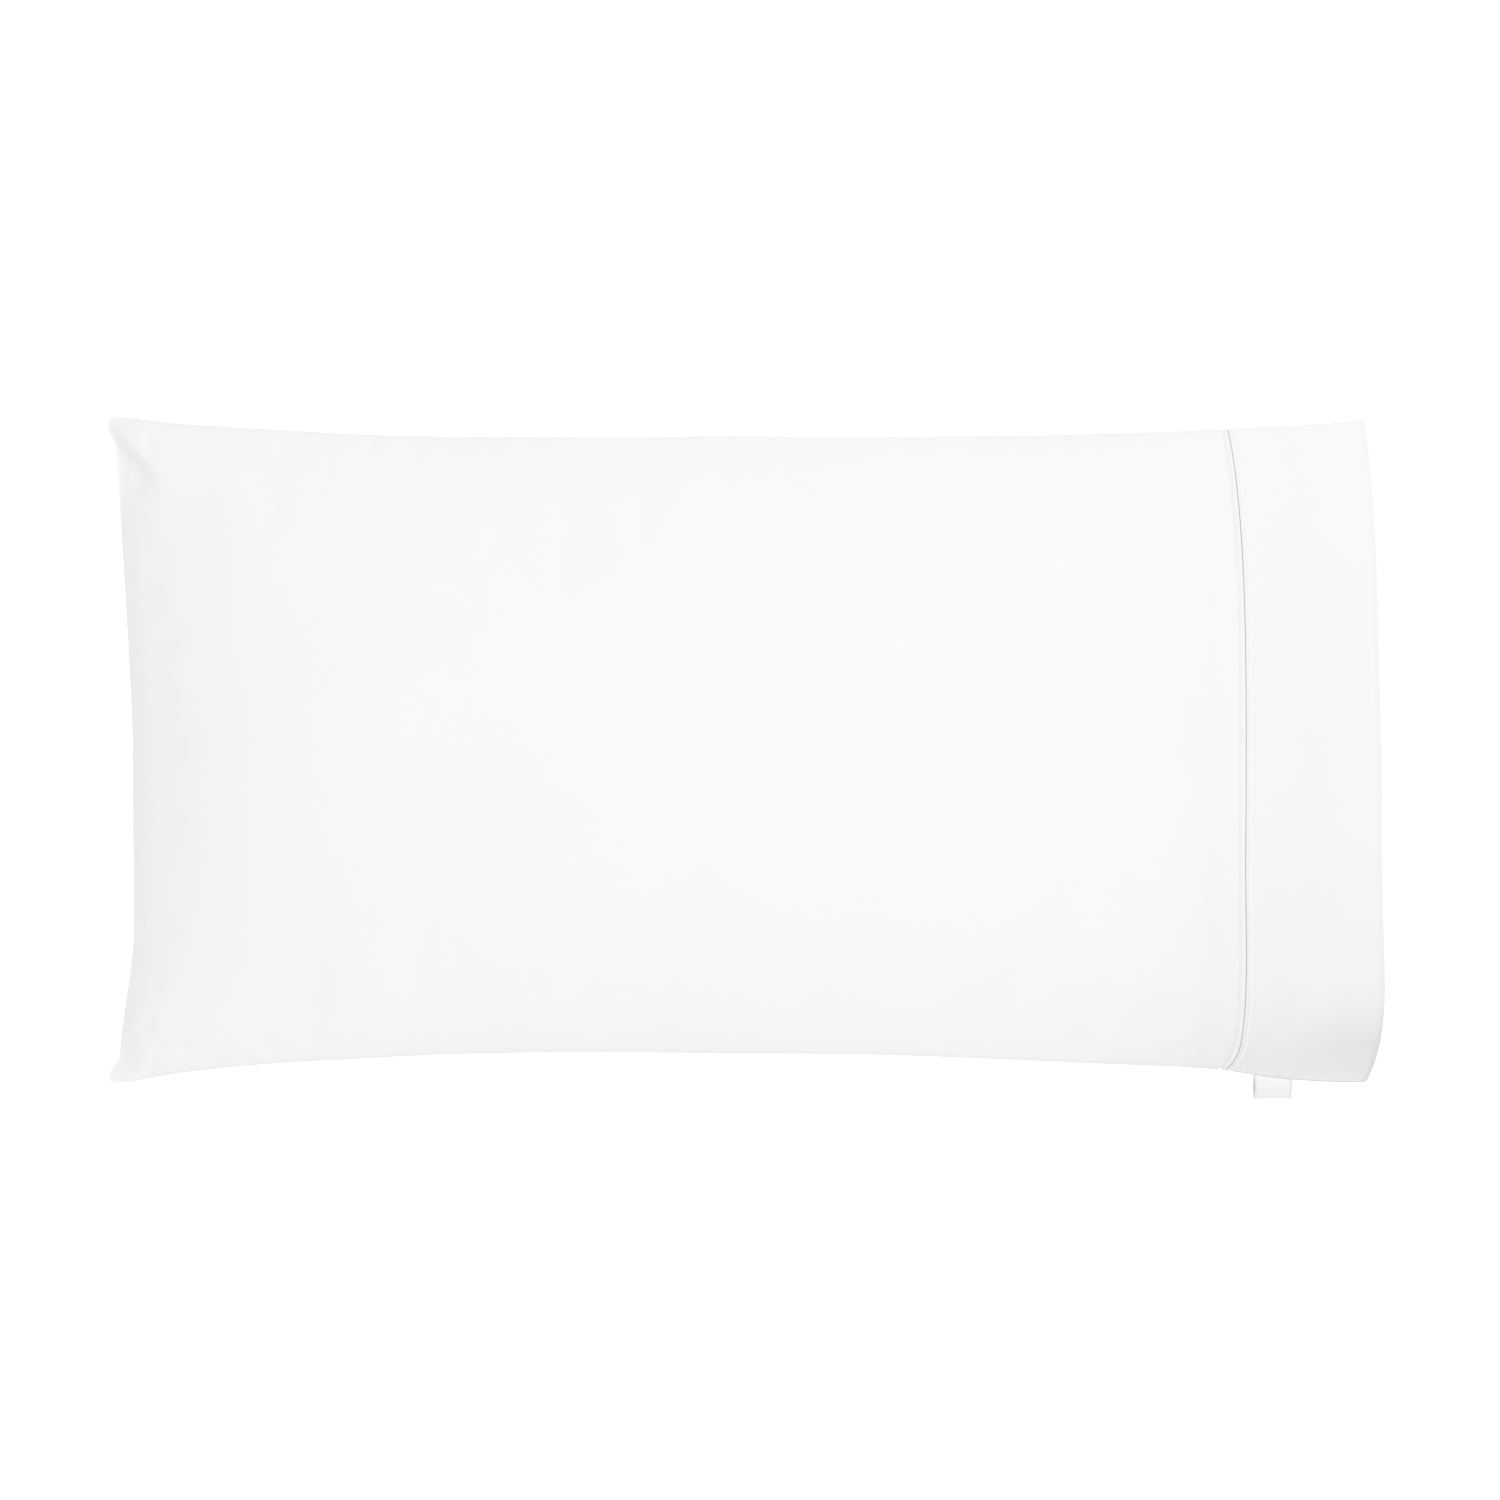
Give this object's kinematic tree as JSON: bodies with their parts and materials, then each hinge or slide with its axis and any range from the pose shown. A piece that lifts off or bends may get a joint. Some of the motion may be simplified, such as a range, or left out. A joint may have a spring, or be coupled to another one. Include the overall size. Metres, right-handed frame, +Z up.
{
  "type": "filled king-size pillowcase",
  "caption": "King-size pillowcase as it lies when filled: crowned body closed at one end, deep sewn cuff round an open mouth at the other, small folded side label.",
  "frame": {"origin": "on the flat underside, on the middle line of the case, halfway along it", "axes": "+X along the case from its closed end to its open mouth, +Y across it to the side without the label, +Z up from the surface it lies on"},
  "size_m": [1.0263, 0.5493, 0.1434],
  "materials": {
    "case_cloth": "smooth pressed white cotton percale",
    "cuff_cloth": "smooth pressed white cotton percale, doubled",
    "label_tape": "soft woven white label tape, bare"
  },
  "bodies": {
    "root": {"case_body": "case_cloth", "cuff": "cuff_cloth", "label": "label_tape"}
  },
  "joints": []
}
